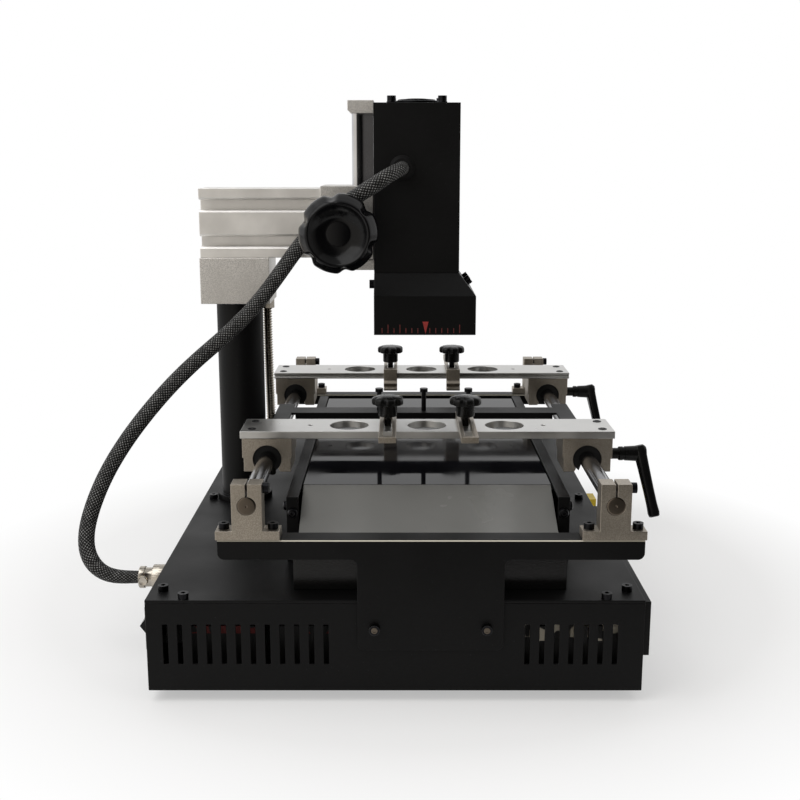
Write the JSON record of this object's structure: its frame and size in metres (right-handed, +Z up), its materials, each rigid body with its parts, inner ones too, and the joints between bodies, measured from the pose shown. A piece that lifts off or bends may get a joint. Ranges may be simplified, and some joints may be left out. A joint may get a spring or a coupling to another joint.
{
  "type": "bga rework station",
  "caption": "Infrared rework station with a lifting heater head on a column arm over a glass preheater with sliding board clamps.",
  "frame": {"origin": "centre of the footprint at the underside of the feet, without the cable", "axes": "+X from the column side to the control panel side, +Y along the guide rods away from the pictured face, +Z up"},
  "size_m": [0.4339, 0.489, 0.4046],
  "materials": {
    "black_coat": "matte",
    "dark_satin": "satin",
    "black_screw": "satin",
    "rubber": "matte",
    "black_plastic": "matte",
    "gloss_black": "gloss",
    "button_red": "gloss",
    "yellow_plastic": "satin",
    "relay_cream": "matte",
    "steel": "satin",
    "chrome_wire": "polished",
    "black_glass": "gloss",
    "ceramic": "matte",
    "silver": "bead blasted",
    "braid": "woven"
  },
  "bodies": {
    "base": {"base_chassis": "black_coat", "top_cover": "black_coat", "rubber_feet": "rubber", "cap_screws": "black_screw", "power_entry": "black_plastic", "heater_socket": "steel", "control_panel": "black_coat", "temperature_controllers": "black_plastic", "thermocouple_socket": "yellow_plastic", "power_electronics": "relay_cream", "heater_rails": "black_coat", "heater_aprons": "dark_satin", "heater_glass": "black_glass", "bottom_heater": "ceramic", "front_bracket": "black_coat", "rear_bracket": "black_coat", "shaft_supports": "silver", "guide_rods": "steel", "column": "black_coat", "arm_block": "silver", "arm_profile": "silver", "slide_housing": "silver", "sensor_gooseneck": "steel", "heater_cable": "braid", "heater_plug": "steel"},
    "handwheel": {"handwheel": "gloss_black", "pinion_shaft": "steel"},
    "head": {"slide_plates": "silver", "slide_rods": "steel", "lift_rack": "steel", "head_shell": "black_coat", "head_hood": "black_coat", "head_screws": "black_screw", "upper_heater": "ceramic", "fan_frame": "black_plastic", "fan_guard": "chrome_wire", "cable_grommet": "rubber"},
    "fan": {"fan_rotor": "black_plastic"},
    "front_bar": {"front_clamp_bar": "silver", "front_bar_blocks": "silver", "front_bar_bushes": "black_plastic"},
    "rear_bar": {"rear_clamp_bar": "silver", "rear_bar_blocks": "silver", "rear_bar_bushes": "black_plastic"},
    "front_lever": {"front_clamp_lever": "black_plastic"},
    "rear_lever": {"rear_clamp_lever": "black_plastic"},
    "beam": {"support_beam": "black_coat"},
    "rocker": {"power_rocker": "black_plastic"},
    "button": {"start_button": "button_red"},
    "front_left_finger_body": {"front_left_finger": "steel"},
    "front_left_knob_body": {"front_left_knob": "black_plastic"},
    "front_right_finger_body": {"front_right_finger": "steel"},
    "front_right_knob_body": {"front_right_knob": "black_plastic"},
    "rear_left_finger_body": {"rear_left_finger": "steel"},
    "rear_left_knob_body": {"rear_left_knob": "black_plastic"},
    "rear_right_finger_body": {"rear_right_finger": "steel"},
    "rear_right_knob_body": {"rear_right_knob": "black_plastic"},
    "left_pin_body": {"left_support_pin": "black_screw"},
    "middle_pin_body": {"middle_support_pin": "black_screw"},
    "right_pin_body": {"right_support_pin": "black_screw"}
  },
  "joints": [
    {"name": "head_lift", "type": "slide", "parent": "base", "child": "head", "axis": [0, 0, 1], "range_m": [-0.05, 0]},
    {"name": "handwheel_turn", "type": "hinge", "parent": "base", "child": "handwheel", "pos_m": [-0.054, -0.068, 0.3012], "axis": [0, 1, 0], "range_deg": [0, 288]},
    {"name": "fan_spin", "type": "hinge", "parent": "head", "child": "fan", "pos_m": [0.0055, 0, 0.39], "axis": [0, 0, 1], "continuous": true},
    {"name": "front_bar_slide", "type": "slide", "parent": "base", "child": "front_bar", "axis": [0, 1, 0], "range_m": [-0.09, 0.025]},
    {"name": "rear_bar_slide", "type": "slide", "parent": "base", "child": "rear_bar", "axis": [0, 1, 0], "range_m": [-0.025, 0.065]},
    {"name": "front_lever_turn", "type": "hinge", "parent": "front_bar", "child": "front_lever", "pos_m": [0.15, -0.106, 0.1375], "axis": [1, 0, 0], "range_deg": [-70, 90]},
    {"name": "rear_lever_turn", "type": "hinge", "parent": "rear_bar", "child": "rear_lever", "pos_m": [0.15, 0.128, 0.1375], "axis": [1, 0, 0], "range_deg": [-70, 90]},
    {"name": "beam_slide", "type": "slide", "parent": "base", "child": "beam", "axis": [0, 1, 0], "range_m": [-0.02, 0.025]},
    {"name": "rocker_tilt", "type": "hinge", "parent": "base", "child": "rocker", "pos_m": [-0.174, -0.219, 0.049], "axis": [0, 1, 0], "range_deg": [0, 10]},
    {"name": "button_press", "type": "slide", "parent": "base", "child": "button", "axis": [-1, 0, 0], "range_m": [0, 0.003], "stiffness_N_per_m": 400},
    {"name": "front_left_finger_slide", "type": "slide", "parent": "front_bar", "child": "front_left_finger_body", "axis": [0, 1, 0], "range_m": [-0.002, 0.02]},
    {"name": "front_left_knob_turn", "type": "hinge", "parent": "front_bar", "child": "front_left_knob_body", "pos_m": [-0.01675, -0.106, 0.17], "axis": [0, 0, 1], "range_deg": [0, 360]},
    {"name": "front_right_finger_slide", "type": "slide", "parent": "front_bar", "child": "front_right_finger_body", "axis": [0, 1, 0], "range_m": [-0.002, 0.02]},
    {"name": "front_right_knob_turn", "type": "hinge", "parent": "front_bar", "child": "front_right_knob_body", "pos_m": [0.04175, -0.106, 0.17], "axis": [0, 0, 1], "range_deg": [0, 360]},
    {"name": "rear_left_finger_slide", "type": "slide", "parent": "rear_bar", "child": "rear_left_finger_body", "axis": [0, -1, 0], "range_m": [-0.002, 0.02]},
    {"name": "rear_left_knob_turn", "type": "hinge", "parent": "rear_bar", "child": "rear_left_knob_body", "pos_m": [-0.01675, 0.128, 0.17], "axis": [0, 0, 1], "range_deg": [0, 360]},
    {"name": "rear_right_finger_slide", "type": "slide", "parent": "rear_bar", "child": "rear_right_finger_body", "axis": [0, -1, 0], "range_m": [-0.002, 0.02]},
    {"name": "rear_right_knob_turn", "type": "hinge", "parent": "rear_bar", "child": "rear_right_knob_body", "pos_m": [0.04175, 0.128, 0.17], "axis": [0, 0, 1], "range_deg": [0, 360]},
    {"name": "left_pin_height", "type": "slide", "parent": "beam", "child": "left_pin_body", "axis": [0, 0, 1], "range_m": [-0.014, 0.002]},
    {"name": "middle_pin_height", "type": "slide", "parent": "beam", "child": "middle_pin_body", "axis": [0, 0, 1], "range_m": [-0.014, 0.002]},
    {"name": "right_pin_height", "type": "slide", "parent": "beam", "child": "right_pin_body", "axis": [0, 0, 1], "range_m": [-0.014, 0.002]}
  ],
  "couplings": [
    {"joint": "handwheel_turn", "follows": "head_lift", "rad_per_m": -100}
  ]
}
